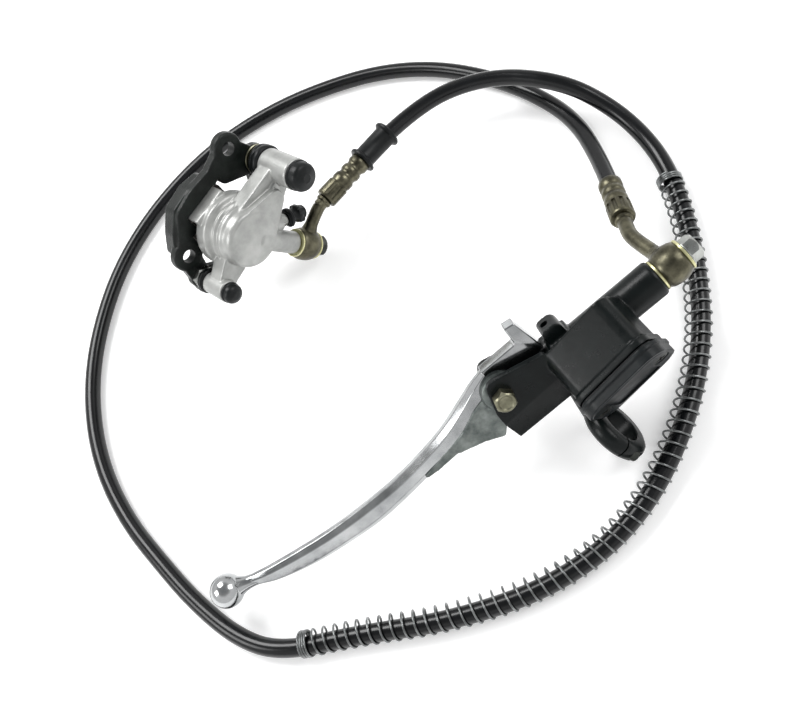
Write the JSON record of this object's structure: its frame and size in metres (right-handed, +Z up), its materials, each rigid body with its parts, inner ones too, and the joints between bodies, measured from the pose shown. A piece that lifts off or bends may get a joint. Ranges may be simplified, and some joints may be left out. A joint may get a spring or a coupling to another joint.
{
  "type": "hydraulic disc brake",
  "caption": "Hydraulic disc brake laid out: lever and master cylinder with square reservoir, coiled hose with spring guard, and a sliding single-piston caliper on its bracket.",
  "frame": {"origin": "centre of the rigid pieces' bounding box, on the table it lies on", "axes": "+Z up from the table; +X along the master cylinder bore as seen from above, towards its banjo; +Y towards the caliper"},
  "size_m": [0.3969, 0.395, 0.096],
  "materials": {
    "black_casting": "satin",
    "black_plastic": "satin",
    "rubber": "matte",
    "dark_steel": "satin",
    "polished_alloy": "polished",
    "gold_steel": "zinc plated",
    "alloy": "satin",
    "spring_steel": "satin",
    "steel": "zinc plated",
    "pale_gold": "satin",
    "olive_gold": "zinc plated",
    "hose_rubber": "glossy",
    "silver_casting": "satin",
    "black_plate": "satin",
    "pad": "matte"
  },
  "bodies": {
    "brake_set": {"master_cylinder_body": "black_casting", "reservoir_cap": "black_plastic", "reservoir_diaphragm": "rubber", "cap_screws": "dark_steel", "handlebar_clamp": "black_casting", "clamp_bolts": "dark_steel", "lever_pivot_bolt": "gold_steel", "lever_pivot_nut": "gold_steel", "piston_circlip": "spring_steel", "piston_boot": "rubber", "master_banjo_bolt": "steel", "master_banjo_washers": "pale_gold", "master_banjo_fitting": "olive_gold", "master_crimp_ferrule": "olive_gold", "brake_hose": "hose_rubber", "hose_spring_guard": "spring_steel", "hose_grommet": "rubber", "caliper_crimp_ferrule": "olive_gold", "caliper_banjo_fitting": "olive_gold", "caliper_banjo_washers": "pale_gold", "caliper_banjo_bolt": "dark_steel", "caliper_body": "silver_casting", "upper_pin_boot": "rubber", "lower_pin_boot": "rubber", "upper_pin_cap": "rubber", "lower_pin_cap": "rubber", "piston_seal": "rubber", "piston_dust_seal": "rubber", "inner_brake_pad": "pad", "bleed_screw": "steel", "bleed_cap": "rubber"},
    "lever": {"brake_lever": "polished_alloy"},
    "master_piston": {"master_piston": "alloy", "secondary_cup": "rubber", "primary_cup": "rubber", "master_return_spring": "spring_steel"},
    "caliper_piston": {"caliper_piston": "steel"},
    "outer_pad": {"outer_brake_pad": "pad"},
    "bracket": {"mounting_bracket": "black_plate", "upper_slide_pin": "steel", "lower_slide_pin": "steel", "pin_nuts": "gold_steel"}
  },
  "joints": [
    {"name": "lever_pull", "type": "hinge", "parent": "brake_set", "child": "lever", "pos_m": [0.03414, -0.07621, 0.04809], "axis": [-0.1161, -0.8018, 0.5862], "range_deg": [0, 15], "stiffness_Nm_per_rad": 0.5, "springref_deg": -22.92},
    {"name": "master_piston_slide", "type": "slide", "parent": "brake_set", "child": "master_piston", "axis": [0.981, 0, 0.1942], "range_m": [0, 0.0026]},
    {"name": "caliper_piston_slide", "type": "slide", "parent": "brake_set", "child": "caliper_piston", "axis": [-0.3698, 0.9153, -0.1599], "range_m": [0, 0.0007]},
    {"name": "outer_pad_slide", "type": "slide", "parent": "brake_set", "child": "outer_pad", "axis": [-0.3698, 0.9153, -0.1599], "range_m": [0, 0.0007]},
    {"name": "bracket_slide", "type": "slide", "parent": "brake_set", "child": "bracket", "axis": [-0.3698, 0.9153, -0.1599], "range_m": [0, 0.003]}
  ],
  "couplings": [
    {"joint": "master_piston_slide", "follows": "lever_pull", "m_per_rad": 0.009},
    {"joint": "caliper_piston_slide", "follows": "lever_pull", "m_per_rad": 0.001991},
    {"joint": "outer_pad_slide", "follows": "lever_pull", "m_per_rad": 0.001991}
  ]
}
